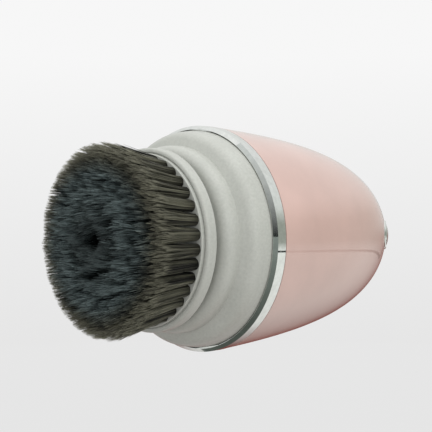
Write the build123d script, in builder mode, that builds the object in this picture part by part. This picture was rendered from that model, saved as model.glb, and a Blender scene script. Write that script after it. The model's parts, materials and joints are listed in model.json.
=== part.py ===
from build123d import *
from math import acos, cos, pi, radians, sin, tan
import os

# Handheld facial cleansing brush, in millimetres.
# The brush's own axis is the Y axis: the bristles face -Y and the tail of the body points to +Y.
# The origin is on that axis, in the rear face of the chrome ring. +Z is up with the brush held level.
# On every turned piece a profile point is (y, radius).

# ---------------------------------------------------------------- driving dimensions

# chrome ring, the widest piece
RING_R = 30.0
RING_FRONT = -3.8
RING_BORE = 29.0
RING_EDGE = 0.9
WEB_FRONT = -0.6
WEB_BORE = 26.3
SPIGOT_R = 27.7
SPIGOT_REAR = 5.0
GASKET_Y = 3.0
GASKET_R = 27.52
GASKET_SECTION = 0.38

# rear shell, an egg whose outline is one Bezier curve
SHELL_FRONT = 0.3
SHELL_R = 29.95
SHELL_REAR = 68.3
FLANK = (40.0, 28.0)
NOSE_R = 23.6
SHELL_WALL = 1.9

# front cover: two rounded steps, then a low collar round the well behind the brush head
COVER_R = 28.7
COVER_TAPER = 0.7
STEP_Y = -8.6
STEP_R = 24.35
CREASE_Y = -10.2
FACE_Y = -14.5
SHOULDER = 3.4
STEP_SHOULDER = 2.9
COLLAR_R = 19.0
COLLAR_FRONT = -16.4
COLLAR_FILLET = 0.8
COVER_WALL = 1.8
WELL_R = 10.2
WELL_FLOOR = -7.0
PLATE_REAR = -4.8
SEAL_SEAT_R = 5.2
SEAL_LIP = 0.6

# brush head
BASE_R = 23.4
BASE_REAR = -17.4
LEDGE_Y = -20.1
BLOCK_FACE = -20.9
BLOCK_R = 22.0
GROOVE_WIDTH = 0.35
GROOVE_DEPTH = 0.35
RIM_FRONT_FILLET = 0.85
RIM_REAR_FILLET = 0.4
BLOCK_FILLET = 0.25
BOSS_R = 8.6
BOSS_REAR = -8.2
TUFT_R = 1.4
TUFT_DEPTH = 2.6
TUFT_PLAY = 0.05
STAPLE_THICK = 0.5
TUFT_RINGS = ((36, 20.2), (24, 16.0), (18, 11.9), (12, 8.0))
TIP_R = 24.2
TIP_EDGE_Y = -33.0
TIP_CROWN_Y = -38.4
CROWN_R = 9.0
CROWN_EDGE = (-35.2, 24.4)
CROWN_SHOULDER = (-38.0, 19.5)
HOLLOW_R = 3.6
HOLLOW_Y = -31.0

# drive socket and spindle
HUB_R = 6.0
HUB_FRONT = -17.5
SOCKET_FLATS = 5.7
SPINDLE_FLATS = 5.6
SOCKET_FRONT = -15.2
MAGNET_R = 2.5
MAGNET_THICK = 2.0
SPINDLE_R = 2.5
SPINDLE_FRONT = -15.0
SPINDLE_SHOULDER = -7.6
PILOT_R = 1.2
PILOT_LENGTH = 4.7
SPINDLE_CHAMFER = 0.4
RUNNING = 0.03

# two-stage planetary gearbox
MODULE = 0.5
PRESSURE_ANGLE = radians(20)
SUN_TEETH = 12
PLANET_TEETH = 18
RING_TEETH = 48
ORBIT_R = MODULE * (SUN_TEETH + PLANET_TEETH) / 2
ADDENDUM = 0.45
DEDENDUM = 0.6
TOOTH_SLACK = 0.04
GEAR_WIDTH = 4.5
CASE_R = 14.6
CASE_FRONT = -1.2
CASE_REAR = 13.4
EAR_ORBIT = 16.2
EAR_R = 2.6
EAR_START = 60
CARRIER_R = 11.0
CARRIER_THICK = 2.0
SUN_WIDTH = 4.7
PLANET_GAP = 0.3
PIN_R = 1.0
PIN_REACH = 6.9
OUTPUT_CARRIER = -0.9
FIRST_CARRIER = 6.2
LID_FRONT = -3.0
LID_BOSS_R = 6.5
BUSH_R = 4.0
BUSH_FRONT = -4.6
BUSH_FLANGE_R = 5.0
BUSH_FLANGE_THICK = 0.6
WASHER_THICK = 0.2
WASHER_PLAY = 0.05

# motor
MOTOR_R = 12.2
MOTOR_FRONT = 15.2
MOTOR_REAR = 41.2
MOTOR_WALL = 0.8
MOTOR_BOSS_R = 3.0
MOTOR_BOSS_FRONT = 14.0
MOTOR_SCREW_ORBIT = 8.0
MOTOR_SCREW_HEAD = 1.0
BEARING_LENGTH = 3.2
REAR_BEARING = 39.6
CAP_SPIGOT = 2.0
CAP_SPIGOT_WALL = 1.0
SHAFT_R = 1.0
SHAFT_FRONT = 8.6
SHAFT_REAR = 41.0
ARMATURE_R = 7.6
ARMATURE_FRONT = 21.0
ARMATURE_REAR = 34.0
COMMUTATOR_R = 2.5
COMMUTATOR_REAR = 38.6
COMMUTATOR_LENGTH = 3.2
CARBON_LENGTH = 2.5
CARBON_WIDTH = 1.6
CARBON_PLAY = 0.05
MAGNET_BORE = 8.2
MAGNET_SPLIT = 7.0
MAGNET_OVERHANG = 2.0
POLE_SHOE_R = 6.4
POLE_REACH = 6.8
POLE_GAP = 1.6
POLE_WIDTH = 3.0
ARMATURE_HUB_R = 2.6
WINDING_R = 4.25
WINDING_DEPTH = 2.7
WINDING_WIDTH = 6.2
WINDING_OVERHANG = 1.2
TERMINAL_X = 4.5
TERMINAL_THICK = 0.5
TERMINAL_WIDTH = 2.6
TERMINAL_REAR = 47.6
END_CAP_FRONT = 39.0

# chassis
FLANGE_FRONT = 0.2
FLANGE_THICK = 2.0
FLANGE_R = 25.9
BARREL_R = 20.6
BARREL_BORE = 19.0
TRAY_Z = 12.5
TRAY_THICK = 1.2
TRAY_WIDTH = 24.0
TRAY_REAR = 46.0
REAR_WALL = 2.0
TERMINAL_WINDOW = (2.2, 4.2)
BOSS_ORBIT = 23.6
BOSS_POST_R = 2.1
COVER_SCREW_BITE = 4.5
SCREW_TIP_GAP = 0.5
SCREW_R = 1.0
SCREW_HEAD_R = 1.9
SCREW_HEAD = 1.3
SCREW_HEAD_FILLET = 0.5

# battery and circuit board, on the trays below and above the motor
CELL_WIDTH = 21.0
CELL_LENGTH = 26.0
CELL_THICK = 5.8
CELL_FILLET = 1.2
BOARD_WIDTH = 21.0
BOARD_LENGTH = 28.0
BOARD_THICK = 1.0
BOARD_CORNER = 1.0
# x, y from the board's middle, width, length, height
BOARD_PARTS = (
    (-4.0, -5.0, 5.0, 5.0, 1.2),
    (5.0, -6.0, 6.0, 6.0, 2.4),
    (5.5, 2.5, 3.0, 4.0, 1.6),
    (-4.5, 2.0, 3.0, 1.6, 1.0),
    (0.5, 6.0, 1.6, 3.0, 1.0),
)
PACK_Y = 30.0

# power button on the side of the tail: heights are from the shell's surface along the button's axis
BUTTON_STATION = 0.742
BUTTON_R = 3.4
CAP_FLOOR = -0.85
CAP_RIM = 0.1
DOME_TOP = 0.8
DOME_SHOULDER = 2.0
BEZEL_R = 4.3
BEZEL_BORE = 3.5
BEZEL_TOP = 0.12
BEZEL_EDGE = 0.3
SEAT_FLOOR = -1.4
SEAT_BOSS_R = 5.8
SEAT_BOSS_END = -3.6
STEM_R = 1.2
STEM_HOLE_R = 1.3
STEM_END = -4.0
STEM_SEAL_R = 2.6
STEM_SEAL_THICK = 1.0
SWITCH_TOP = -4.6
SWITCH_WIDTH = 6.0
SWITCH_HEIGHT = 3.0
PLUNGER_R = 1.5
PLUNGER_LENGTH = 1.6
PLUNGER_PLAY = 0.1
SWITCH_BOARD_WIDTH = 8.0
SWITCH_BOARD_THICK = 0.8
PLATFORM_THICK = 1.2
ARM_HALF_WIDTH = 3.0

# charging coil in the tail
COIL_FRONT = 59.9
COIL_R = 9.0
COIL_BORE = 4.0
COIL_THICK = 1.8
COIL_FILLET = 0.6
FERRITE_THICK = 1.2
POST_R = 3.2

# internal leads
LEAD_R = 0.55
LEAD_BEND = 1.4
LEAD_LIFT = 0.1
LEAD_LAP = 1.5
MOTOR_LEAD_Y = 46.8
BATTERY_LEAD_Y = 49.0
BATTERY_LEAD_X = (-6.5, -8.5)
SWITCH_LEAD_X = (7.0, 8.6)
COIL_LEAD_X = (-1.5, 1.5)
LOOM_Y = 48.0
PAD_SPREAD = 0.8
COIL_LEAD_RISE = 3.0

os.makedirs("parts", exist_ok=True)

# Local z of the axial plane is the row's Y, so a height on it is a station along the brush.
AXIAL = Plane(origin=(0, 0, 0), x_dir=(1, 0, 0), z_dir=(0, 1, 0))


def finish(piece, name):
    """Label a finished piece and write it out."""
    piece.part.label = name
    export_step(piece.part, f"parts/{name}.step")


def involute(angle):
    return tan(angle) - angle


def gear_outline(teeth, tip_radius, root_radius, slack, phase=0.0):
    """Points round an involute gear, with slack taken off each side of every tooth."""
    pitch_radius = MODULE * teeth / 2
    base_radius = pitch_radius * cos(PRESSURE_ANGLE)

    def half_angle(radius):
        roll = acos(base_radius / max(radius, base_radius))
        return pi / (2 * teeth) + involute(PRESSURE_ANGLE) - involute(roll) - slack / pitch_radius

    flank = (root_radius, (root_radius + pitch_radius) / 2, pitch_radius, tip_radius)
    points = []
    for tooth in range(teeth):
        centre = phase + 2 * pi * tooth / teeth
        rising = [(radius, centre - half_angle(radius)) for radius in flank]
        falling = [(radius, centre + half_angle(radius)) for radius in reversed(flank)]
        points += [(radius * cos(angle), radius * sin(angle)) for radius, angle in rising + falling]
    return points


def pinion_outline(teeth, phase=0.0):
    pitch_radius = MODULE * teeth / 2
    return gear_outline(teeth, pitch_radius + ADDENDUM, pitch_radius - DEDENDUM, TOOTH_SLACK, phase)


def planet_plane(index, station):
    """Plane at a planet's centre, its x axis pointing away from the sun gear."""
    angle = 2 * pi * index / 3
    outward = Vector(cos(angle), 0, sin(angle))
    return Plane(origin=outward * ORBIT_R + Vector(0, station, 0), x_dir=outward, z_dir=(0, 1, 0))


# ---------------------------------------------------------------- outer body

shell_outline = Bezier((SHELL_FRONT, SHELL_R), FLANK, (SHELL_REAR, NOSE_R), (SHELL_REAR, 0))
button_point = shell_outline @ BUTTON_STATION
button_slope = shell_outline % BUTTON_STATION
# The outline holds (y, radius), so the row's X is its Y and the row's Y is its X.
BUTTON_PLANE = Plane(
    origin=(button_point.Y, button_point.X, 0), x_dir=(0, 0, 1), z_dir=(button_slope.X, -button_slope.Y, 0)
)

with BuildPart() as rear_shell:
    with BuildSketch(Plane.YZ):
        with BuildLine():
            add(shell_outline)
            Polyline((SHELL_REAR, 0), (SHELL_FRONT, 0), (SHELL_FRONT, SHELL_R))
        make_face()
    revolve(axis=Axis.Y)
    with BuildSketch(Plane.YZ):
        inner_rear = SHELL_REAR - SHELL_WALL
        with BuildLine():
            Bezier(
                (SHELL_FRONT, SHELL_R - SHELL_WALL),
                (FLANK[0], FLANK[1] - SHELL_WALL),
                (inner_rear, NOSE_R - SHELL_WALL),
                (inner_rear, 0),
            )
            Polyline((inner_rear, 0), (SHELL_FRONT, 0), (SHELL_FRONT, SHELL_R - SHELL_WALL))
        make_face()
    revolve(axis=Axis.Y, mode=Mode.SUBTRACT)
    with BuildSketch(BUTTON_PLANE.offset(SEAT_BOSS_END)):
        Circle(SEAT_BOSS_R)
    extrude(amount=SEAT_FLOOR - SEAT_BOSS_END)
    with BuildSketch(BUTTON_PLANE.offset(SEAT_FLOOR)):
        Circle(BEZEL_R)
    extrude(amount=BEZEL_R, mode=Mode.SUBTRACT)
    with BuildSketch(BUTTON_PLANE.offset(SEAT_BOSS_END)):
        Circle(STEM_HOLE_R)
    extrude(amount=SEAT_FLOOR - SEAT_BOSS_END, mode=Mode.SUBTRACT)
    with BuildSketch(BUTTON_PLANE.offset(SEAT_BOSS_END)):
        Circle(STEM_SEAL_R)
    extrude(amount=STEM_SEAL_THICK, mode=Mode.SUBTRACT)
finish(rear_shell, "rear_shell")

with BuildPart() as chrome_ring:
    with BuildSketch(Plane.YZ):
        with BuildLine():
            Polyline(
                (0, RING_R),
                (RING_FRONT + RING_EDGE, RING_R),
                (RING_FRONT, RING_R - RING_EDGE),
                (RING_FRONT, RING_BORE),
                (WEB_FRONT, RING_BORE),
                (WEB_FRONT, WEB_BORE),
                (SPIGOT_REAR, WEB_BORE),
                (SPIGOT_REAR, SPIGOT_R),
                (GASKET_Y + GASKET_SECTION, SPIGOT_R),
                (GASKET_Y + GASKET_SECTION, GASKET_R - GASKET_SECTION),
                (GASKET_Y - GASKET_SECTION, GASKET_R - GASKET_SECTION),
                (GASKET_Y - GASKET_SECTION, SPIGOT_R),
                (0, SPIGOT_R),
                close=True,
            )
        make_face()
    revolve(axis=Axis.Y)
finish(chrome_ring, "chrome_ring")

with BuildPart() as front_cover:
    with BuildSketch(Plane.YZ) as cover_section:
        with BuildLine():
            Polyline(
                (WEB_FRONT, COVER_R - COVER_WALL),
                (WEB_FRONT, COVER_R),
                (RING_FRONT, COVER_R),
                (STEP_Y, COVER_R - COVER_TAPER),
                (CREASE_Y, STEP_R),
                (FACE_Y, STEP_R),
                (FACE_Y, COLLAR_R),
                (COLLAR_FRONT, COLLAR_R),
                (COLLAR_FRONT, WELL_R),
                (WELL_FLOOR, WELL_R),
                (WELL_FLOOR, SEAL_SEAT_R),
                (PLATE_REAR, SEAL_SEAT_R),
                (PLATE_REAR, WELL_R + COVER_WALL),
                (COLLAR_FRONT + COVER_WALL, WELL_R + COVER_WALL),
                (COLLAR_FRONT + COVER_WALL, COLLAR_R - COVER_WALL),
                (FACE_Y + COVER_WALL, COLLAR_R - COVER_WALL),
                (FACE_Y + COVER_WALL, STEP_R - STEP_SHOULDER),
                (FACE_Y + STEP_SHOULDER, STEP_R - COVER_WALL),
                (STEP_Y + COVER_WALL, STEP_R - COVER_WALL),
                (STEP_Y + COVER_WALL, COVER_R - COVER_TAPER - SHOULDER),
                (STEP_Y + SHOULDER, COVER_R - COVER_TAPER - COVER_WALL),
                close=True,
            )
        make_face()
        fillet(cover_section.vertices().sort_by_distance((STEP_Y, COVER_R - COVER_TAPER))[0], SHOULDER)
        fillet(cover_section.vertices().sort_by_distance((FACE_Y, STEP_R))[0], STEP_SHOULDER)
        fillet(cover_section.vertices().sort_by_distance((COLLAR_FRONT, COLLAR_R))[0], COLLAR_FILLET)
    revolve(axis=Axis.Y)
    with BuildSketch(AXIAL.offset(FLANGE_FRONT)):
        with PolarLocations(BOSS_ORBIT, 3):
            Circle(BOSS_POST_R)
    extrude(amount=STEP_Y + COVER_WALL / 2 - FLANGE_FRONT)
    with BuildSketch(AXIAL.offset(FLANGE_FRONT)):
        with PolarLocations(BOSS_ORBIT, 3):
            Circle(SCREW_R)
    extrude(amount=-COVER_SCREW_BITE - SCREW_TIP_GAP, mode=Mode.SUBTRACT)
finish(front_cover, "front_cover")

with BuildPart() as shell_gasket:
    with BuildSketch(Plane.YZ):
        with Locations((GASKET_Y, GASKET_R)):
            Circle(GASKET_SECTION)
    revolve(axis=Axis.Y)
finish(shell_gasket, "shell_gasket")

# ---------------------------------------------------------------- brush head

with BuildPart() as brush_base:
    with BuildSketch(Plane.YZ) as base_section:
        with BuildLine():
            Polyline(
                (HUB_FRONT, 0),
                (HUB_FRONT, HUB_R),
                (BOSS_REAR, HUB_R),
                (BOSS_REAR, BOSS_R),
                (BASE_REAR, BOSS_R),
                (BASE_REAR, BASE_R),
                (LEDGE_Y, BASE_R),
                (LEDGE_Y, BLOCK_R + GROOVE_WIDTH),
                (LEDGE_Y + GROOVE_DEPTH, BLOCK_R + GROOVE_WIDTH),
                (LEDGE_Y + GROOVE_DEPTH, BLOCK_R),
                (BLOCK_FACE, BLOCK_R),
                (BLOCK_FACE, 0),
                close=True,
            )
        make_face()
        rim = base_section.vertices().group_by(Axis.Y)[-1].sort_by(Axis.X)
        fillet(rim[0], RIM_FRONT_FILLET)
        fillet(rim[1], RIM_REAR_FILLET)
        fillet(base_section.vertices().group_by(Axis.X)[0].sort_by(Axis.Y)[-1], BLOCK_FILLET)
    revolve(axis=Axis.Y)
    with BuildSketch(AXIAL.offset(BLOCK_FACE)):
        for count, radius in TUFT_RINGS:
            with PolarLocations(radius, count, 180 / count):
                Circle(TUFT_R)
    extrude(amount=TUFT_DEPTH, mode=Mode.SUBTRACT)
finish(brush_base, "brush_base")

with BuildPart() as bristles:
    with BuildSketch(Plane.YZ):
        with BuildLine():
            root = Line((BLOCK_FACE, HOLLOW_R), (BLOCK_FACE, TUFT_RINGS[0][1] + TUFT_R))
            flare = Line(root @ 1, (TIP_EDGE_Y, TIP_R))
            crown = Bezier(flare @ 1, CROWN_EDGE, CROWN_SHOULDER, (TIP_CROWN_Y, CROWN_R))
            hollow_edge = Bezier(crown @ 1, (TIP_CROWN_Y, HOLLOW_R), (HOLLOW_Y, HOLLOW_R))
            Line(hollow_edge @ 1, root @ 0)
        make_face()
    revolve(axis=Axis.Y)
    with BuildSketch(AXIAL.offset(BLOCK_FACE)):
        for count, radius in TUFT_RINGS:
            with PolarLocations(radius, count, 180 / count):
                Circle(TUFT_R - TUFT_PLAY)
    extrude(amount=TUFT_DEPTH - STAPLE_THICK)
finish(bristles, "bristles")

with BuildPart() as tuft_staples:
    with BuildSketch(AXIAL.offset(BLOCK_FACE + TUFT_DEPTH - STAPLE_THICK)):
        for count, radius in TUFT_RINGS:
            with PolarLocations(radius, count, 180 / count):
                Rectangle(STAPLE_THICK, 2 * (TUFT_R - TUFT_PLAY))
    extrude(amount=STAPLE_THICK)
finish(tuft_staples, "tuft_staples")

with BuildPart() as brush_hub:
    with BuildSketch(AXIAL.offset(HUB_FRONT)):
        Circle(HUB_R)
    extrude(amount=BOSS_REAR - HUB_FRONT)
    with BuildSketch(AXIAL.offset(SOCKET_FRONT)):
        RegularPolygon(SOCKET_FLATS / 2, 6, major_radius=False)
    extrude(amount=BOSS_REAR - SOCKET_FRONT, mode=Mode.SUBTRACT)
    with BuildSketch(AXIAL.offset(SOCKET_FRONT)):
        Circle(MAGNET_R)
    extrude(amount=-MAGNET_THICK, mode=Mode.SUBTRACT)
finish(brush_hub, "brush_hub")

with BuildPart() as hub_magnet:
    with BuildSketch(AXIAL.offset(SOCKET_FRONT)):
        Circle(MAGNET_R)
    extrude(amount=-MAGNET_THICK)
finish(hub_magnet, "hub_magnet")

# ---------------------------------------------------------------- spindle and its bearings

output_carrier_rear = OUTPUT_CARRIER + CARRIER_THICK

with BuildPart() as spindle:
    with BuildSketch(AXIAL.offset(SPINDLE_FRONT)):
        RegularPolygon(SPINDLE_FLATS / 2, 6, major_radius=False)
    extrude(amount=SPINDLE_SHOULDER - SPINDLE_FRONT)
    chamfer(spindle.faces().sort_by(Axis.Y)[0].edges(), SPINDLE_CHAMFER)
    with BuildSketch(AXIAL.offset(SPINDLE_SHOULDER)):
        Circle(SPINDLE_R)
    extrude(amount=output_carrier_rear - SPINDLE_SHOULDER)
    with BuildSketch(AXIAL.offset(output_carrier_rear)):
        Circle(PILOT_R)
    extrude(amount=PILOT_LENGTH)
finish(spindle, "spindle")

with BuildPart() as spindle_seal:
    with BuildSketch(Plane.YZ):
        with BuildLine():
            Polyline(
                (WELL_FLOOR, SEAL_SEAT_R),
                (WELL_FLOOR, SPINDLE_R + RUNNING),
                (WELL_FLOOR + SEAL_LIP, SPINDLE_R + RUNNING),
                (WELL_FLOOR + SEAL_LIP, SEAL_SEAT_R - SEAL_LIP),
                (PLATE_REAR - SEAL_LIP, SEAL_SEAT_R - SEAL_LIP),
                (PLATE_REAR - SEAL_LIP, SPINDLE_R + RUNNING),
                (PLATE_REAR, SPINDLE_R + RUNNING),
                (PLATE_REAR, SEAL_SEAT_R),
                close=True,
            )
        make_face()
    revolve(axis=Axis.Y)
finish(spindle_seal, "spindle_seal")

with BuildPart() as spindle_bush:
    with BuildSketch(AXIAL.offset(BUSH_FRONT)):
        Circle(BUSH_FLANGE_R)
    extrude(amount=BUSH_FLANGE_THICK)
    with BuildSketch(AXIAL.offset(BUSH_FRONT)):
        Circle(BUSH_R)
    extrude(amount=CASE_FRONT - BUSH_FRONT)
    with BuildSketch(AXIAL.offset(BUSH_FRONT)):
        Circle(SPINDLE_R + RUNNING)
    extrude(amount=CASE_FRONT - BUSH_FRONT, mode=Mode.SUBTRACT)
finish(spindle_bush, "spindle_bush")

with BuildPart() as thrust_washer:
    with BuildSketch(AXIAL.offset(CASE_FRONT + WASHER_PLAY)):
        Circle(BUSH_FLANGE_R)
        Circle(SPINDLE_R + 2 * RUNNING, mode=Mode.SUBTRACT)
    extrude(amount=WASHER_THICK)
finish(thrust_washer, "thrust_washer")

# ---------------------------------------------------------------- gearbox

with BuildPart() as gearbox_lid:
    with BuildSketch(AXIAL.offset(LID_FRONT)):
        Circle(CASE_R)
        with PolarLocations(EAR_ORBIT, 3, EAR_START):
            Circle(EAR_R)
    extrude(amount=CASE_FRONT - LID_FRONT)
    with BuildSketch(AXIAL.offset(BUSH_FRONT)):
        Circle(LID_BOSS_R)
    extrude(amount=LID_FRONT - BUSH_FRONT)
    with BuildSketch(AXIAL.offset(BUSH_FRONT)):
        Circle(BUSH_FLANGE_R)
    extrude(amount=BUSH_FLANGE_THICK, mode=Mode.SUBTRACT)
    with BuildSketch(AXIAL.offset(BUSH_FRONT)):
        Circle(BUSH_R)
    extrude(amount=CASE_FRONT - BUSH_FRONT, mode=Mode.SUBTRACT)
    with BuildSketch(AXIAL.offset(LID_FRONT)):
        with PolarLocations(EAR_ORBIT, 3, EAR_START):
            Circle(SCREW_R)
    extrude(amount=CASE_FRONT - LID_FRONT, mode=Mode.SUBTRACT)
finish(gearbox_lid, "gearbox_lid")

ring_pitch_r = MODULE * RING_TEETH / 2

with BuildPart() as gearbox_case:
    with BuildSketch(AXIAL.offset(CASE_FRONT)):
        Circle(CASE_R)
        with PolarLocations(EAR_ORBIT, 3, EAR_START):
            Circle(EAR_R)
            Circle(SCREW_R, mode=Mode.SUBTRACT)
    extrude(amount=CASE_REAR - CASE_FRONT)
    with BuildSketch(AXIAL.offset(CASE_FRONT)):
        with BuildLine():
            Polyline(
                *gear_outline(RING_TEETH, ring_pitch_r + DEDENDUM, ring_pitch_r - ADDENDUM, -TOOTH_SLACK),
                close=True,
            )
        make_face()
    extrude(amount=CASE_REAR - CASE_FRONT, mode=Mode.SUBTRACT)
finish(gearbox_case, "gearbox_case")

with BuildPart() as output_carrier:
    with BuildSketch(AXIAL.offset(OUTPUT_CARRIER)):
        Circle(CARRIER_R)
        Circle(SPINDLE_R, mode=Mode.SUBTRACT)
        with PolarLocations(ORBIT_R, 3):
            Circle(PIN_R, mode=Mode.SUBTRACT)
    extrude(amount=CARRIER_THICK)
finish(output_carrier, "output_carrier")

with BuildPart() as first_carrier:
    with BuildSketch(AXIAL.offset(FIRST_CARRIER)):
        Circle(CARRIER_R)
        with PolarLocations(ORBIT_R, 3):
            Circle(PIN_R, mode=Mode.SUBTRACT)
    extrude(amount=CARRIER_THICK)
    with BuildSketch(AXIAL.offset(FIRST_CARRIER)):
        with BuildLine():
            Polyline(*pinion_outline(SUN_TEETH, phase=pi / SUN_TEETH), close=True)
        make_face()
    extrude(amount=-SUN_WIDTH)
    with BuildSketch(AXIAL.offset(FIRST_CARRIER - SUN_WIDTH)):
        Circle(PILOT_R + RUNNING)
    extrude(amount=SUN_WIDTH + CARRIER_THICK, mode=Mode.SUBTRACT)
finish(first_carrier, "first_carrier")

for stage, carrier_front in (("output", OUTPUT_CARRIER), ("first", FIRST_CARRIER)):
    with BuildPart() as planet_pins:
        with BuildSketch(AXIAL.offset(carrier_front)):
            with PolarLocations(ORBIT_R, 3):
                Circle(PIN_R)
        extrude(amount=PIN_REACH)
    finish(planet_pins, f"{stage}_planet_pins")

    for index in range(3):
        with BuildPart() as planet:
            with BuildSketch(planet_plane(index, carrier_front + CARRIER_THICK + PLANET_GAP)):
                with BuildLine():
                    Polyline(*pinion_outline(PLANET_TEETH), close=True)
                make_face()
                Circle(PIN_R + RUNNING, mode=Mode.SUBTRACT)
            extrude(amount=GEAR_WIDTH)
        finish(planet, f"{stage}_planet_{index + 1}")

with BuildPart() as motor_pinion:
    with BuildSketch(AXIAL.offset(SHAFT_FRONT)):
        with BuildLine():
            Polyline(*pinion_outline(SUN_TEETH, phase=pi / SUN_TEETH), close=True)
        make_face()
        Circle(SHAFT_R, mode=Mode.SUBTRACT)
    extrude(amount=GEAR_WIDTH)
finish(motor_pinion, "motor_pinion")

# ---------------------------------------------------------------- motor

motor_bore = MOTOR_R - MOTOR_WALL
bearing_r = 2 * SHAFT_R

with BuildPart() as motor_can:
    with BuildSketch(Plane.YZ):
        with BuildLine():
            Polyline(
                (MOTOR_BOSS_FRONT, bearing_r),
                (MOTOR_BOSS_FRONT, MOTOR_BOSS_R),
                (MOTOR_FRONT, MOTOR_BOSS_R),
                (MOTOR_FRONT, MOTOR_R),
                (END_CAP_FRONT, MOTOR_R),
                (END_CAP_FRONT, motor_bore),
                (MOTOR_FRONT + MOTOR_WALL, motor_bore),
                (MOTOR_FRONT + MOTOR_WALL, MOTOR_BOSS_R),
                (MOTOR_BOSS_FRONT + BEARING_LENGTH, MOTOR_BOSS_R),
                (MOTOR_BOSS_FRONT + BEARING_LENGTH, bearing_r),
                close=True,
            )
        make_face()
    revolve(axis=Axis.Y)
    with BuildSketch(AXIAL.offset(MOTOR_FRONT)):
        with PolarLocations(MOTOR_SCREW_ORBIT, 2):
            Circle(SCREW_R)
    extrude(amount=MOTOR_WALL, mode=Mode.SUBTRACT)
finish(motor_can, "motor_can")

with BuildPart() as motor_end_cap:
    with BuildSketch(Plane.YZ):
        with BuildLine():
            Polyline(
                (MOTOR_REAR, bearing_r),
                (MOTOR_REAR, MOTOR_R),
                (END_CAP_FRONT, MOTOR_R),
                (END_CAP_FRONT, motor_bore),
                (END_CAP_FRONT - CAP_SPIGOT, motor_bore),
                (END_CAP_FRONT - CAP_SPIGOT, motor_bore - CAP_SPIGOT_WALL),
                (REAR_BEARING, motor_bore - CAP_SPIGOT_WALL),
                (REAR_BEARING, bearing_r),
                close=True,
            )
        make_face()
    revolve(axis=Axis.Y)
    with BuildSketch(AXIAL.offset(REAR_BEARING)):
        with PolarLocations(TERMINAL_X, 2):
            Rectangle(TERMINAL_THICK, TERMINAL_WIDTH)
    extrude(amount=MOTOR_REAR - REAR_BEARING, mode=Mode.SUBTRACT)
finish(motor_end_cap, "motor_end_cap")

with BuildPart() as motor_terminals:
    with BuildSketch(AXIAL.offset(REAR_BEARING)):
        with PolarLocations(TERMINAL_X, 2):
            Rectangle(TERMINAL_THICK, TERMINAL_WIDTH)
    extrude(amount=TERMINAL_REAR - REAR_BEARING)
finish(motor_terminals, "motor_terminals")

with BuildPart() as motor_bearings:
    with BuildSketch(AXIAL.offset(MOTOR_BOSS_FRONT)):
        Circle(bearing_r)
        Circle(SHAFT_R + RUNNING, mode=Mode.SUBTRACT)
    extrude(amount=BEARING_LENGTH)
    with BuildSketch(AXIAL.offset(REAR_BEARING)):
        Circle(bearing_r)
        Circle(SHAFT_R + RUNNING, mode=Mode.SUBTRACT)
    extrude(amount=MOTOR_REAR - REAR_BEARING)
finish(motor_bearings, "motor_bearings")

with BuildPart() as motor_magnets:
    with BuildSketch(AXIAL.offset(ARMATURE_FRONT - MAGNET_OVERHANG)):
        Circle(motor_bore)
        Circle(MAGNET_BORE, mode=Mode.SUBTRACT)
        Rectangle(MAGNET_SPLIT, 2 * MOTOR_R, mode=Mode.SUBTRACT)
    extrude(amount=ARMATURE_REAR - ARMATURE_FRONT + 2 * MAGNET_OVERHANG)
finish(motor_magnets, "motor_magnets")

with BuildPart() as motor_shaft:
    with BuildSketch(AXIAL.offset(SHAFT_FRONT)):
        Circle(SHAFT_R)
    extrude(amount=SHAFT_REAR - SHAFT_FRONT)
finish(motor_shaft, "motor_shaft")

with BuildPart() as motor_armature:
    with BuildSketch(AXIAL.offset(ARMATURE_FRONT)):
        Circle(ARMATURE_R)
        Circle(POLE_SHOE_R, mode=Mode.SUBTRACT)
        with PolarLocations(ARMATURE_R, 3, 60):
            Rectangle(ARMATURE_R, POLE_GAP, mode=Mode.SUBTRACT)
        with PolarLocations(POLE_REACH / 2, 3):
            Rectangle(POLE_REACH, POLE_WIDTH)
        Circle(ARMATURE_HUB_R)
        Circle(SHAFT_R, mode=Mode.SUBTRACT)
    extrude(amount=ARMATURE_REAR - ARMATURE_FRONT)
finish(motor_armature, "motor_armature")

with BuildPart() as armature_windings:
    with BuildSketch(AXIAL.offset(ARMATURE_FRONT - WINDING_OVERHANG)):
        with PolarLocations(WINDING_R, 3):
            Rectangle(WINDING_DEPTH, WINDING_WIDTH)
    extrude(amount=ARMATURE_REAR - ARMATURE_FRONT + 2 * WINDING_OVERHANG)
    with BuildSketch(AXIAL.offset(ARMATURE_FRONT)):
        with PolarLocations(WINDING_R, 3):
            Rectangle(2 * WINDING_DEPTH, POLE_WIDTH)
    extrude(amount=ARMATURE_REAR - ARMATURE_FRONT, mode=Mode.SUBTRACT)
finish(armature_windings, "armature_windings")

with BuildPart() as commutator:
    with BuildSketch(AXIAL.offset(COMMUTATOR_REAR)):
        Circle(COMMUTATOR_R)
        Circle(SHAFT_R, mode=Mode.SUBTRACT)
    extrude(amount=-COMMUTATOR_LENGTH)
finish(commutator, "commutator")

with BuildPart() as carbon_brushes:
    with BuildSketch(AXIAL.offset(COMMUTATOR_REAR - COMMUTATOR_LENGTH / 2)):
        with PolarLocations(COMMUTATOR_R + CARBON_PLAY + CARBON_LENGTH / 2, 2, 90):
            Rectangle(CARBON_LENGTH, CARBON_WIDTH)
    extrude(amount=CARBON_WIDTH / 2, both=True)
finish(carbon_brushes, "carbon_brushes")

# ---------------------------------------------------------------- chassis and screws

platform_top = SWITCH_TOP - SWITCH_HEIGHT - SWITCH_BOARD_THICK
platform_low = BUTTON_PLANE.offset(platform_top - PLATFORM_THICK)
platform_edges = [platform_low.from_local_coords((0, side * SWITCH_BOARD_WIDTH / 2)) for side in (-1, 1)]
platform_edges.sort(key=lambda edge: edge.Y)

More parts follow.
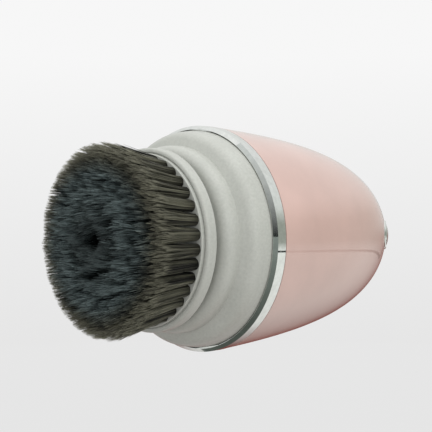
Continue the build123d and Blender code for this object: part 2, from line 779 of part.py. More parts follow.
with BuildPart() as chassis:
    with BuildSketch(AXIAL.offset(FLANGE_FRONT)):
        Circle(FLANGE_R)
    extrude(amount=FLANGE_THICK)
    with BuildSketch(AXIAL.offset(FLANGE_FRONT)):
        Circle(BARREL_R)
    extrude(amount=MOTOR_FRONT - FLANGE_FRONT)
    with BuildSketch(AXIAL.offset(FLANGE_FRONT)):
        Circle(BARREL_BORE)
    extrude(amount=CASE_REAR - FLANGE_FRONT, mode=Mode.SUBTRACT)
    with BuildSketch(AXIAL.offset(MOTOR_FRONT)):
        with Locations((0, TRAY_Z + TRAY_THICK / 2), (0, -TRAY_Z - TRAY_THICK / 2)):
            Rectangle(TRAY_WIDTH, TRAY_THICK)
    extrude(amount=TRAY_REAR - MOTOR_FRONT)
    with BuildSketch(AXIAL.offset(TRAY_REAR)):
        Rectangle(TRAY_WIDTH, 2 * (TRAY_Z + TRAY_THICK))
        with PolarLocations(TERMINAL_X, 2):
            Rectangle(*TERMINAL_WINDOW, mode=Mode.SUBTRACT)
    extrude(amount=-REAR_WALL)
    with BuildSketch(AXIAL.offset(TRAY_REAR)):
        Circle(POST_R)
    extrude(amount=COIL_FRONT - FERRITE_THICK - TRAY_REAR)
    with BuildSketch(Plane.XY):
        with BuildLine():
            Polyline(
                (TRAY_WIDTH / 4, TRAY_REAR - REAR_WALL),
                (TRAY_WIDTH / 2, TRAY_REAR - REAR_WALL),
                (platform_edges[0].X, platform_edges[0].Y),
                (platform_edges[1].X, platform_edges[1].Y),
                close=True,
            )
        make_face()
    extrude(amount=ARM_HALF_WIDTH, both=True)
    with BuildSketch(platform_low):
        Rectangle(SWITCH_BOARD_WIDTH, SWITCH_BOARD_WIDTH)
    extrude(amount=PLATFORM_THICK)
    with BuildSketch(AXIAL.offset(FLANGE_FRONT)):
        with PolarLocations(BOSS_ORBIT, 3):
            Circle(SCREW_R)
    extrude(amount=FLANGE_THICK, mode=Mode.SUBTRACT)
    with BuildSketch(AXIAL.offset(CASE_REAR)):
        with PolarLocations(EAR_ORBIT, 3, EAR_START):
            Circle(SCREW_R)
        with PolarLocations(MOTOR_SCREW_ORBIT, 2):
            Circle(SCREW_R)
        Circle(MOTOR_BOSS_R)
    extrude(amount=MOTOR_FRONT - CASE_REAR, mode=Mode.SUBTRACT)
    with BuildSketch(AXIAL.offset(CASE_REAR)):
        with PolarLocations(MOTOR_SCREW_ORBIT, 2):
            Circle(SCREW_HEAD_R)
    extrude(amount=MOTOR_SCREW_HEAD, mode=Mode.SUBTRACT)
finish(chassis, "chassis")

with BuildPart() as cover_screws:
    with BuildSketch(AXIAL.offset(FLANGE_FRONT + FLANGE_THICK)):
        with PolarLocations(BOSS_ORBIT, 3):
            Circle(SCREW_HEAD_R)
    extrude(amount=SCREW_HEAD)
    fillet(cover_screws.faces().group_by(Axis.Y)[-1].edges(), SCREW_HEAD_FILLET)
    with BuildSketch(AXIAL.offset(FLANGE_FRONT + FLANGE_THICK)):
        with PolarLocations(BOSS_ORBIT, 3):
            Circle(SCREW_R)
    extrude(amount=-FLANGE_THICK - COVER_SCREW_BITE)
finish(cover_screws, "cover_screws")

with BuildPart() as gearbox_screws:
    with BuildSketch(AXIAL.offset(LID_FRONT)):
        with PolarLocations(EAR_ORBIT, 3, EAR_START):
            Circle(SCREW_HEAD_R)
    extrude(amount=-SCREW_HEAD)
    fillet(gearbox_screws.faces().group_by(Axis.Y)[0].edges(), SCREW_HEAD_FILLET)
    with BuildSketch(AXIAL.offset(LID_FRONT)):
        with PolarLocations(EAR_ORBIT, 3, EAR_START):
            Circle(SCREW_R)
    extrude(amount=MOTOR_FRONT - LID_FRONT)
finish(gearbox_screws, "gearbox_screws")

with BuildPart() as motor_screws:
    with BuildSketch(AXIAL.offset(CASE_REAR)):
        with PolarLocations(MOTOR_SCREW_ORBIT, 2):
            Circle(SCREW_HEAD_R)
    extrude(amount=MOTOR_SCREW_HEAD)
    with BuildSketch(AXIAL.offset(CASE_REAR)):
        with PolarLocations(MOTOR_SCREW_ORBIT, 2):
            Circle(SCREW_R)
    extrude(amount=MOTOR_FRONT + MOTOR_WALL - CASE_REAR)
finish(motor_screws, "motor_screws")

# ---------------------------------------------------------------- power and control

tray_face = TRAY_Z + TRAY_THICK

with BuildPart() as battery_cell:
    with BuildSketch(Plane.XY.offset(-tray_face)):
        with Locations((0, PACK_Y)):
            Rectangle(CELL_WIDTH, CELL_LENGTH)
    extrude(amount=-CELL_THICK)
    fillet(battery_cell.edges().filter_by(Axis.Y), CELL_FILLET)
finish(battery_cell, "battery_cell")

with BuildPart() as circuit_board:
    with BuildSketch(Plane.XY.offset(tray_face)):
        with Locations((0, PACK_Y)):
            RectangleRounded(BOARD_WIDTH, BOARD_LENGTH, BOARD_CORNER)
    extrude(amount=BOARD_THICK)
finish(circuit_board, "circuit_board")

with BuildPart() as board_components:
    for x, y, width, length, height in BOARD_PARTS:
        with BuildSketch(Plane.XY.offset(tray_face + BOARD_THICK)):
            with Locations((x, PACK_Y + y)):
                Rectangle(width, length)
        extrude(amount=height)
finish(board_components, "board_components")

with BuildPart() as ferrite_disc:
    with BuildSketch(AXIAL.offset(COIL_FRONT)):
        Circle(COIL_R)
    extrude(amount=-FERRITE_THICK)
finish(ferrite_disc, "ferrite_disc")

with BuildPart() as charging_coil:
    with BuildSketch(AXIAL.offset(COIL_FRONT)):
        Circle(COIL_R)
        Circle(COIL_BORE, mode=Mode.SUBTRACT)
    extrude(amount=COIL_THICK)
    fillet(charging_coil.faces().sort_by(Axis.Y)[-1].edges(), COIL_FILLET)
finish(charging_coil, "charging_coil")

# ---------------------------------------------------------------- power button

# In the button's section plane, local x is the radius and local y the height above the shell.
BUTTON_SECTION = Plane(origin=BUTTON_PLANE.origin, x_dir=BUTTON_PLANE.x_dir, z_dir=-BUTTON_PLANE.y_dir)
BUTTON_AXIS = Axis(BUTTON_PLANE.origin, BUTTON_PLANE.z_dir)

with BuildPart() as power_button:
    with BuildSketch(BUTTON_SECTION):
        with BuildLine():
            cap = Polyline(
                (0, STEM_END),
                (STEM_R, STEM_END),
                (STEM_R, CAP_FLOOR),
                (BUTTON_R, CAP_FLOOR),
                (BUTTON_R, CAP_RIM),
            )
            dome = Bezier(cap @ 1, (DOME_SHOULDER, DOME_TOP), (0, DOME_TOP))
            Line(dome @ 1, cap @ 0)
        make_face()
    revolve(axis=BUTTON_AXIS)
finish(power_button, "power_button")

with BuildPart() as button_bezel:
    with BuildSketch(BUTTON_SECTION):
        with BuildLine():
            Polyline(
                (BEZEL_BORE, SEAT_FLOOR),
                (BEZEL_R, SEAT_FLOOR),
                (BEZEL_R, BEZEL_TOP - BEZEL_EDGE),
                (BEZEL_R - BEZEL_EDGE, BEZEL_TOP),
                (BEZEL_BORE + BEZEL_EDGE / 2, BEZEL_TOP),
                (BEZEL_BORE, BEZEL_TOP - BEZEL_EDGE / 2),
                close=True,
            )
        make_face()
    revolve(axis=BUTTON_AXIS)
finish(button_bezel, "button_bezel")

with BuildPart() as button_seal:
    with BuildSketch(BUTTON_PLANE.offset(SEAT_BOSS_END)):
        Circle(STEM_SEAL_R)
        Circle(STEM_R + RUNNING, mode=Mode.SUBTRACT)
    extrude(amount=STEM_SEAL_THICK)
finish(button_seal, "button_seal")

with BuildPart() as tact_switch:
    with BuildSketch(BUTTON_PLANE.offset(SWITCH_TOP - SWITCH_HEIGHT)):
        Rectangle(SWITCH_WIDTH, SWITCH_WIDTH)
    extrude(amount=SWITCH_HEIGHT)
    with BuildSketch(BUTTON_PLANE.offset(SWITCH_TOP)):
        Circle(PLUNGER_R + PLUNGER_PLAY)
    extrude(amount=-PLUNGER_LENGTH, mode=Mode.SUBTRACT)
finish(tact_switch, "tact_switch")

with BuildPart() as switch_plunger:
    with BuildSketch(BUTTON_PLANE.offset(STEM_END)):
        Circle(PLUNGER_R)
    extrude(amount=-PLUNGER_LENGTH)
finish(switch_plunger, "switch_plunger")

with BuildPart() as switch_board:
    with BuildSketch(BUTTON_PLANE.offset(platform_top)):
        Rectangle(SWITCH_BOARD_WIDTH, SWITCH_BOARD_WIDTH)
    extrude(amount=SWITCH_BOARD_THICK)
finish(switch_board, "switch_board")

# ---------------------------------------------------------------- internal leads

lead_z = tray_face + BOARD_THICK + LEAD_R + LEAD_LIFT
cell_z = -tray_face - CELL_THICK / 2
board_edge = PACK_Y + BOARD_LENGTH / 2 - LEAD_LAP
coil_middle = COIL_FRONT + COIL_THICK / 2
switch_plane = BUTTON_PLANE.offset(platform_top + SWITCH_BOARD_THICK / 2)
switch_pads = [
    switch_plane.from_local_coords((SWITCH_BOARD_WIDTH / 2, spread)) for spread in (-PAD_SPREAD, PAD_SPREAD)
]

LEAD_ROUTES = {
    "motor_leads": [
        [(x, MOTOR_LEAD_Y, TERMINAL_WIDTH / 2), (x, MOTOR_LEAD_Y, lead_z), (x, board_edge, lead_z)]
        for x in (-TERMINAL_X, TERMINAL_X)
    ],
    "battery_leads": [
        [
            (x, PACK_Y + CELL_LENGTH / 2, cell_z),
            (x, BATTERY_LEAD_Y, cell_z),
            (x, BATTERY_LEAD_Y, lead_z),
            (x, board_edge, lead_z),
        ]
        for x in BATTERY_LEAD_X
    ],
    "switch_leads": [
        [(pad.X, pad.Y, pad.Z), (pad.X, pad.Y, 2 * pad.Z), (x, LOOM_Y, lead_z), (x, board_edge, lead_z)]
        for pad, x in zip(switch_pads, SWITCH_LEAD_X)
    ],
    "coil_leads": [
        [
            (x, coil_middle, COIL_R),
            (x, coil_middle, COIL_R + COIL_LEAD_RISE),
            (x, LOOM_Y, lead_z),
            (x, board_edge, lead_z),
        ]
        for x in COIL_LEAD_X
    ],
}

for name, routes in LEAD_ROUTES.items():
    with BuildPart() as leads:
        for route in routes:
            with BuildLine() as path:
                FilletPolyline(*route, radius=LEAD_BEND)
            with BuildSketch(Plane(path.line @ 0, z_dir=path.line % 0)):
                Circle(LEAD_R)
            sweep(path=path.line)
    finish(leads, name)
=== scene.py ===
import json
import math

import bpy
import numpy as np
from mathutils import Matrix, Vector


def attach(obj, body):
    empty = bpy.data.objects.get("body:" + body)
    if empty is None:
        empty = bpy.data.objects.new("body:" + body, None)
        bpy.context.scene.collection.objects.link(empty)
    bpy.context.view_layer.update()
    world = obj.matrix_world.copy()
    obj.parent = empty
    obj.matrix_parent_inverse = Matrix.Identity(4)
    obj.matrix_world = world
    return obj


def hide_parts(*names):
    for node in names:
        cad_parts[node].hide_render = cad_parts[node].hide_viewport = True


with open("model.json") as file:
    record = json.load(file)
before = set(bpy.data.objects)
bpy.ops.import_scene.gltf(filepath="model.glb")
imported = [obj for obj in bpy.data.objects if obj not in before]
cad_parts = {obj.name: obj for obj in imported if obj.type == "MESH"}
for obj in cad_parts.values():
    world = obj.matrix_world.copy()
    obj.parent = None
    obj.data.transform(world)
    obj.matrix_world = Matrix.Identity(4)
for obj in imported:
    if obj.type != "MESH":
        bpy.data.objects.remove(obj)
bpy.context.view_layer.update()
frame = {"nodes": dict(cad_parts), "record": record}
MM = 0.001

# ---------------------------------------------------------------- mesh building


def add_object(name, mesh, material):
    obj = bpy.data.objects.new(name, mesh)
    bpy.context.scene.collection.objects.link(obj)
    mesh.materials.append(material)
    return obj


def grid_quads(rows, columns):
    """The faces between points that lie row by row in a grid."""
    index = np.arange(rows * columns).reshape(rows, columns)
    corners = (index[:-1, :-1], index[1:, :-1], index[1:, 1:], index[:-1, 1:])
    return np.stack(corners, -1).reshape(-1, 4)


def array_mesh(name, points, quads, triangles=np.zeros((0, 3), int)):
    """A smooth-shaded mesh from arrays of points, quads and triangles."""
    mesh = bpy.data.meshes.new(name)
    corners = np.concatenate([quads.ravel(), triangles.ravel()])
    sizes = np.concatenate([np.full(len(quads), 4), np.full(len(triangles), 3)])
    mesh.vertices.add(len(points))
    mesh.vertices.foreach_set("co", points.astype(np.float32).ravel())
    mesh.loops.add(len(corners))
    mesh.loops.foreach_set("vertex_index", corners.astype(np.int32))
    mesh.polygons.add(len(sizes))
    mesh.polygons.foreach_set("loop_start", (np.cumsum(sizes) - sizes).astype(np.int32))
    mesh.polygons.foreach_set("use_smooth", np.ones(len(sizes), bool))
    mesh.update(calc_edges=True)
    mesh.validate()
    return mesh


def vertex_attribute(mesh, name, values):
    layer = mesh.attributes.new(name, "FLOAT", "POINT")
    layer.data.foreach_set("value", values.astype(np.float32).ravel())


# ---------------------------------------------------------------- materials


class Nodes:
    """A short way to build one material's node tree."""

    def __init__(self, name):
        self.material = bpy.data.materials.new(name)
        self.material.use_nodes = True
        self.tree = self.material.node_tree
        self.shader = self.tree.nodes["Principled BSDF"]
        self.position = self.node("ShaderNodeTexCoord").outputs["Object"]

    def node(self, kind, **settings):
        made = self.tree.nodes.new(kind)
        for key, value in settings.items():
            setattr(made, key, value)
        return made

    def link(self, source, target):
        self.tree.links.new(source, target)

    def put(self, node, socket, value):
        """Sets a socket to a number, a colour or another node's output."""
        if isinstance(value, bpy.types.NodeSocket):
            self.link(value, node.inputs[socket])
        else:
            node.inputs[socket].default_value = value

    def mapped(self, stretch):
        mapping = self.node("ShaderNodeMapping")
        self.link(self.position, mapping.inputs["Vector"])
        mapping.inputs["Scale"].default_value = stretch
        return mapping.outputs["Vector"]

    def noise(self, scale, detail=4.0, stretch=(1, 1, 1), rough=0.55):
        """Noise of about that many features per metre."""
        made = self.node("ShaderNodeTexNoise")
        self.link(self.mapped(stretch), made.inputs["Vector"])
        made.inputs["Scale"].default_value = scale
        made.inputs["Detail"].default_value = detail
        made.inputs["Roughness"].default_value = rough
        return made.outputs["Fac"]

    def spread(self, value, low, high, start=0.35, end=0.65):
        """A value that goes from low to high while the given one goes from start to end."""
        made = self.node("ShaderNodeMapRange")
        self.put(made, "Value", value)
        for socket, number in (("From Min", start), ("From Max", end), ("To Min", low), ("To Max", high)):
            self.put(made, socket, number)
        return made.outputs["Result"]

    def mix(self, factor, first, second, blend="MIX"):
        made = self.node("ShaderNodeMix", data_type="RGBA", blend_type=blend)
        self.put(made, "Factor", factor)
        for socket, value in ((6, first), (7, second)):
            self.put(made, socket, value if isinstance(value, bpy.types.NodeSocket) else (*value, 1.0))
        return made.outputs[2]

    def shaded(self, colour, level):
        """A colour times one number."""
        grey = self.node("ShaderNodeCombineColor")
        for channel in ("Red", "Green", "Blue"):
            self.link(level, grey.inputs[channel])
        return self.mix(1.0, colour, grey.outputs["Color"], "MULTIPLY")

    def math(self, operation, first, second=0.0, third=0.0):
        made = self.node("ShaderNodeMath", operation=operation)
        for socket, value in enumerate((first, second, third)):
            self.put(made, socket, value)
        return made.outputs[0]

    def bump(self, height, strength, distance):
        made = self.node("ShaderNodeBump")
        self.put(made, "Height", height)
        made.inputs["Strength"].default_value = strength
        made.inputs["Distance"].default_value = distance
        return made.outputs["Normal"]


def finish_material(name, base, accent, rough, scale, patch=40.0, grain=0.0, stretch=(1, 1, 1), **sockets):
    """Two close colours over soft patches, a roughness that wanders between two values, and a fine grain."""
    nodes = Nodes(name)
    patches = nodes.noise(patch)
    fine = nodes.noise(scale, detail=6.0, stretch=stretch)
    tint = nodes.mix(nodes.spread(patches, 0.0, 1.0), base, accent)
    speckle = nodes.spread(fine, 0.93, 1.07, 0.3, 0.7)
    nodes.put(nodes.shader, "Base Color", nodes.shaded(tint, speckle))
    nodes.put(nodes.shader, "Roughness", nodes.spread(fine, *rough))
    if grain:
        nodes.put(nodes.shader, "Normal", nodes.bump(fine, 0.5, grain))
    for socket, value in sockets.items():
        nodes.put(nodes.shader, socket.replace("_", " "), value)
    return nodes.material


def circuit_material(name):
    """Green lacquer over faint lighter tracks."""
    nodes = Nodes(name)
    tracks = nodes.node("ShaderNodeTexBrick", offset=0.5)
    nodes.link(nodes.mapped((900, 900, 900)), tracks.inputs["Vector"])
    for socket, value in (("Mortar Size", 0.06), ("Brick Width", 1.7), ("Row Height", 0.6)):
        tracks.inputs[socket].default_value = value
    lacquer = nodes.mix(nodes.noise(160.0), (0.010, 0.085, 0.045), (0.018, 0.13, 0.065))
    nodes.put(nodes.shader, "Base Color", nodes.mix(tracks.outputs["Fac"], lacquer, (0.05, 0.22, 0.11)))
    nodes.put(nodes.shader, "Roughness", nodes.spread(nodes.noise(900.0), 0.22, 0.36))
    nodes.put(nodes.shader, "Normal", nodes.bump(tracks.outputs["Fac"], 0.4, 0.00003))
    nodes.put(nodes.shader, "Coat Weight", 0.5)
    return nodes.material


def winding_material(name, colour, pitch):
    """Enamelled wire laid side by side, with painted shade in the grooves between turns."""
    nodes = Nodes(name)
    turns = nodes.node("ShaderNodeTexWave", bands_direction="DIAGONAL", wave_profile="SIN")
    nodes.link(nodes.mapped((1, 1, 1)), turns.inputs["Vector"])
    turns.inputs["Scale"].default_value = pitch
    turns.inputs["Distortion"].default_value = 0.6
    # painted shade: the colour falls to 0.35 of itself in the grooves between turns
    dark = tuple(0.35 * channel for channel in colour)
    nodes.put(nodes.shader, "Base Color", nodes.mix(turns.outputs["Fac"], dark, colour))
    nodes.put(nodes.shader, "Roughness", nodes.spread(nodes.noise(1200.0), 0.24, 0.4))
    nodes.put(nodes.shader, "Normal", nodes.bump(turns.outputs["Fac"], 0.8, 0.00008))
    nodes.put(nodes.shader, "Metallic", 0.9)
    return nodes.material


def filament_material(name):
    """Nylon filament: taupe on the flanks of the head, blue-black over its face, and lighter at the outer tips as
    painted back-light.

    Each fibre carries how far a point is along it, how near its tip is to the rim, and a tone of its own.
    """
    nodes = Nodes(name)
    along, rim, tone = (
        nodes.node("ShaderNodeAttribute", attribute_name=key).outputs["Fac"] for key in ("along", "rim", "tone")
    )
    taupe = nodes.mix(tone, (0.004, 0.004, 0.003), (0.180, 0.176, 0.126))
    slate = nodes.mix(tone, (0.010, 0.018, 0.020), (0.215, 0.275, 0.275))
    # painted light: the tips of the outer tufts are lightened as though light shone through them
    painted_backlight_colour = (0.27, 0.265, 0.20)
    slate_share = nodes.math(
        "MULTIPLY", nodes.spread(along, 0.0, 1.0, 0.45, 0.9), nodes.spread(rim, 1.0, 0.0, 0.68, 0.86)
    )
    painted_backlight_share = nodes.math(
        "MULTIPLY", nodes.spread(along, 0.0, 1.0, 0.80, 1.0), nodes.spread(rim, 0.0, 1.0, 0.84, 0.97)
    )
    body = nodes.mix(painted_backlight_share, nodes.mix(slate_share, taupe, slate), painted_backlight_colour)
    # less light reaches the roots, and least of all those behind the outer circle of tufts
    outside = nodes.spread(rim, 0.40, 1.0, 0.76, 0.86)
    behind = nodes.math("MAXIMUM", outside, nodes.spread(along, 0.0, 1.0, 0.55, 0.90))
    low = nodes.spread(along, 0.30, 1.0, 0.04, 0.38)
    root = nodes.math("MULTIPLY", low, nodes.spread(rim, 0.35, 1.0, 0.08, 0.48))
    nodes.put(nodes.shader, "Base Color", nodes.shaded(body, nodes.math("MULTIPLY", root, behind)))
    nodes.put(nodes.shader, "Roughness", nodes.spread(tone, 0.5, 0.34, 0.0, 1.0))
    nodes.put(nodes.shader, "Specular IOR Level", 0.45)
    return nodes.material


LOOKS = {
    "shell_pink": dict(base=(0.585, 0.395, 0.350), accent=(0.597, 0.407, 0.362), rough=(0.29, 0.30), scale=60.0,
                       patch=25.0, Coat_Weight=1.0, Coat_Roughness=0.04),
    "chrome_plate": dict(base=(0.80, 0.82, 0.79), accent=(0.84, 0.86, 0.84), rough=(0.03, 0.07), scale=700.0,
                         patch=120.0, Metallic=1.0),
    "satin_grey": dict(base=(0.43, 0.44, 0.405), accent=(0.455, 0.465, 0.43), rough=(0.34, 0.42), scale=1600.0,
                       patch=90.0, grain=0.000006, Coat_Weight=0.25, Coat_Roughness=0.22),
    "seal_rubber": dict(base=(0.018, 0.018, 0.019), accent=(0.03, 0.03, 0.03), rough=(0.6, 0.8), scale=1500.0,
                        grain=0.00003),
    "staple_brass": dict(base=(0.55, 0.42, 0.18), accent=(0.62, 0.50, 0.24), rough=(0.25, 0.4), scale=2500.0,
                         stretch=(1, 1, 6), Metallic=1.0),
    "acetal_white": dict(base=(0.72, 0.71, 0.66), accent=(0.78, 0.77, 0.72), rough=(0.32, 0.45), scale=1300.0,
                         grain=0.00001, Subsurface_Weight=0.1),
    "steel": dict(base=(0.50, 0.50, 0.51), accent=(0.60, 0.60, 0.61), rough=(0.18, 0.34), scale=1800.0,
                  stretch=(1, 8, 1), Metallic=1.0),
    "can_steel": dict(base=(0.46, 0.47, 0.48), accent=(0.56, 0.57, 0.58), rough=(0.25, 0.42), scale=900.0,
                      stretch=(1, 10, 1), patch=150.0, Metallic=1.0),
    "lamination_steel": dict(base=(0.16, 0.16, 0.17), accent=(0.28, 0.28, 0.29), rough=(0.35, 0.5), scale=500.0,
                             stretch=(0.1, 9, 0.1), grain=0.00006, Metallic=0.9),
    "magnet_black": dict(base=(0.03, 0.03, 0.032), accent=(0.06, 0.06, 0.062), rough=(0.45, 0.65), scale=1400.0,
                         grain=0.00004),
    "sintered_bronze": dict(base=(0.34, 0.21, 0.10), accent=(0.44, 0.29, 0.15), rough=(0.4, 0.6), scale=3000.0,
                            grain=0.00003, Metallic=0.9),
    "pinion_brass": dict(base=(0.66, 0.48, 0.20), accent=(0.74, 0.57, 0.27), rough=(0.2, 0.35), scale=2200.0,
                         stretch=(1, 6, 1), Metallic=1.0),
    "gearbox_nylon": dict(base=(0.035, 0.038, 0.042), accent=(0.055, 0.058, 0.062), rough=(0.42, 0.55),
                          scale=1700.0, grain=0.00003),
    "inner_grey": dict(base=(0.13, 0.135, 0.14), accent=(0.16, 0.165, 0.17), rough=(0.42, 0.56), scale=1500.0,
                       grain=0.00003),
    "carbon": dict(base=(0.015, 0.015, 0.016), accent=(0.04, 0.04, 0.04), rough=(0.5, 0.7), scale=2600.0,
                   grain=0.00003),
    "cell_foil": dict(base=(0.52, 0.53, 0.55), accent=(0.62, 0.63, 0.65), rough=(0.28, 0.45), scale=260.0,
                      grain=0.00012, Metallic=0.85),
    "component_black": dict(base=(0.016, 0.016, 0.018), accent=(0.03, 0.03, 0.032), rough=(0.35, 0.55),
                            scale=2200.0, grain=0.00002),
    "ferrite": dict(base=(0.045, 0.045, 0.047), accent=(0.08, 0.08, 0.082), rough=(0.5, 0.7), scale=1600.0,
                    grain=0.00004),
    "lead_insulation": dict(base=(0.30, 0.025, 0.02), accent=(0.36, 0.035, 0.03), rough=(0.3, 0.42), scale=1500.0,
                            Coat_Weight=0.2),
}
materials = {slot: finish_material(slot, **look) for slot, look in LOOKS.items()}
materials["board_green"] = circuit_material("board_green")
materials["copper_wire"] = winding_material("copper_wire", (0.72, 0.30, 0.12), 1300.0)
materials["filament"] = filament_material("filament")

for part in frame["record"]["subparts"]:
    node = frame["nodes"][part["node"]]
    node.data.materials.clear()
    node.data.materials.append(materials[part["material_slot"]])

# ---------------------------------------------------------------- bristles

# All lengths are in mm. The tuft circles are the base's own: how many tufts, their distance from the axis, how
# far out their tips lean as a share of that distance, and how wide a tuft's tips spread.
TUFT_CIRCLES = ((36, 20.2, 1.10, 2.25), (24, 16.0, 1.11, 3.1), (18, 11.9, 1.0, 3.1), (12, 8.0, 0.60, 3.1))
FIBRES_PER_TUFT = 240
FIBRE_RINGS = 8
FIBRE_SIDES = 3
FIBRE_R = 0.074
TIP_R = 0.022
TAPER_START = 0.55  # the share of a fibre's length at which it starts to taper
PIECES = 6
ROOT_Y = -19.6
ROOT_SPREAD = 1.36
TIP_LIMIT = 24.2  # how far from the axis a tip may reach
CLUMPS = 26  # per tuft
CLUMP_PULL = 0.4  # how much of the way to its clump's middle a fibre is drawn

# how far tips wander from straight
DRIFT = 0.60
RIPPLE = 0.20
CLUMP_LEAN = 0.45
FIBRE_LEAN = 0.18
STRAY_SHARE = 0.04
STRAY_LEAN = 0.8
RIM_CALM = 0.88  # the share of the wander that is lost at the rim
SIDE_LEAN = 1.6  # towards -X, for the tips round the hollow
SIDE_LEAN_END = 0.6  # the share of the tip limit at which that lean ends
TOP_BULGE = 0.7  # how much further out the topmost tips may reach
REACH_SCATTER = 0.20

# how high tips stand on the crown, and how they stand out from it
RELIEF = 0.16
TIP_SHAPE = 1.5
TIP_SCALE = 0.85
TIP_BASE = -0.4
FACE_R = 24
TOP_SETBACK = 0.9

# how fibres bow, and how their tones vary
FIBRE_BOW = 0.04
CLUMP_BOW = 0.08
SWEEP = 1.6  # the power that keeps a fibre straight at its root and sets its lean near the tip
TONE_MIDDLE = 0.46
TONE_FIBRE = 0.24
TONE_CLUMP = 0.30
TONE_CLOUD = 0.16
BRIGHT_SHARE = 0.02
BRIGHT_TONE = 1.6

random = np.random.default_rng(20)


def bezier(points, t):
    """A Bezier curve of any degree at the values t, by repeated linear steps."""
    layers = [np.broadcast_to(np.asarray(p, float), (len(t), len(p))) for p in points]
    while len(layers) > 1:
        layers = [a + (b - a) * t[:, None] for a, b in zip(layers, layers[1:])]
    return layers[0]


def crown_table():
    """The bundle's face as (radius, y): over the crown, then down into the hollow."""
    t = np.linspace(0, 1, 60)
    crown = bezier([(24.2, -33.0), (24.4, -34.8), (19.4, -37.8), (7.5, -38.2)], t)
    hollow = bezier([(7.5, -38.2), (3.0, -38.2), (1.5, -35.0)], t)
    outline = np.concatenate([crown, hollow])
    outline = outline[np.argsort(outline[:, 0])]
    return outline[:, 0], outline[:, 1]


CROWN = crown_table()


def waves(count, shortest, longest):
    """A smooth random field over the face, as a sum of plane waves. Lengths are in mm."""
    lengths = random.uniform(shortest, longest, count)
    angles = random.uniform(0, 2 * math.pi, count)
    phases = random.uniform(0, 2 * math.pi, count)
    directions = np.stack([np.cos(angles), np.sin(angles)]) * 2 * math.pi / lengths

    def field(points):
        return np.sin(points @ directions + phases).sum(-1) / math.sqrt(count)

    return field


drift = [waves(14, 5.0, 12.0) for _ in range(2)]
ripple = [waves(18, 1.8, 3.6) for _ in range(2)]
relief = waves(14, 3.5, 9.0)
cloud = waves(10, 5.0, 14.0)


def disc(count, jitter):
    """Points spread evenly over a unit disc, a little disturbed."""
    index = np.arange(count) + 0.5
    radius = np.sqrt(index / count)
    angle = index * math.pi * (3 - math.sqrt(5)) + random.uniform(0, 2 * math.pi)
    points = np.stack([radius * np.cos(angle), radius * np.sin(angle)], 1)
    points += random.normal(0, jitter, points.shape)
    length = np.maximum(np.linalg.norm(points, axis=1, keepdims=True), 1e-6)
    return points * np.minimum(1, 1 / length)


def tuft_paths(centre, flare, spread):
    """Centre lines of one tuft's fibres, with how near each tip is to the rim and each fibre's tone."""
    local = disc(FIBRES_PER_TUFT, 0.05)
    seeds = disc(CLUMPS, 0.12) * 0.88
    nearest = np.argmin(np.linalg.norm(local[:, None] - seeds[None], axis=2), axis=1)
    gathered = local + (seeds[nearest] - local) * CLUMP_PULL
    straight = centre * flare + gathered * spread
    outward = np.linalg.norm(straight, axis=1, keepdims=True) / TIP_LIMIT
    wander = DRIFT * np.stack([field(straight) for field in drift], 1)
    wander += RIPPLE * np.stack([field(straight) for field in ripple], 1)
    wander += random.normal(0, CLUMP_LEAN, (CLUMPS, 2))[nearest] + random.normal(0, FIBRE_LEAN, straight.shape)
    wander *= 1.0 - RIM_CALM * np.clip(outward, 0, 1) ** 3
    wander[:, 0] -= SIDE_LEAN * np.clip(1 - outward[:, 0] / SIDE_LEAN_END, 0, 1)
    stray = random.random(len(straight)) < STRAY_SHARE
    wander[stray] += random.normal(0, STRAY_LEAN, (stray.sum(), 2))

    # tips that would pass the limit are drawn back to it
    tip = straight + wander
    radius = np.linalg.norm(tip, axis=1)
    bulge = TOP_BULGE * np.clip(tip[:, 1] / TIP_LIMIT, 0, 1)
    held = TIP_LIMIT + bulge + random.normal(0, REACH_SCATTER, len(tip))
    wander += tip * (np.minimum(1, held / radius) - 1)[:, None]
    tip = straight + wander
    radius = np.linalg.norm(tip, axis=1)

    ragged = 1.15 - 0.65 * np.clip(radius / FACE_R, 0, 1) ** 4
    height = np.interp(radius, *CROWN) + RELIEF * relief(tip)
    height = height + random.gamma(TIP_SHAPE, TIP_SCALE, len(tip)) * ragged + TIP_BASE
    height -= TOP_SETBACK * np.clip(tip[:, 1] / TIP_LIMIT, 0, 1) ** 2

    t = np.linspace(0, 1, FIBRE_RINGS)[None, :, None]
    bow = random.normal(0, FIBRE_BOW, (len(tip), 1, 2)) + random.normal(0, CLUMP_BOW, (CLUMPS, 1, 2))[nearest]
    run = centre * (1 + (flare - 1) * t**1.4) + local[:, None] * ROOT_SPREAD * (1 - t**SWEEP)
    run = run + gathered[:, None] * spread * t**SWEEP + wander[:, None] * t**SWEEP + bow * np.sin(math.pi * t)
    depth = ROOT_Y + (height - ROOT_Y)[:, None] * t[:, :, 0]
    paths = np.stack([run[:, :, 0], depth, run[:, :, 1]], 2)

    tone = TONE_MIDDLE + random.normal(0, TONE_FIBRE, len(tip)) + TONE_CLUMP * random.normal(0, 1, CLUMPS)[nearest]
    tone = np.clip(tone + TONE_CLOUD * cloud(straight), 0, 1.15)
    tone[random.random(len(tip)) < BRIGHT_SHARE] = BRIGHT_TONE
    return paths, radius / TIP_LIMIT, tone


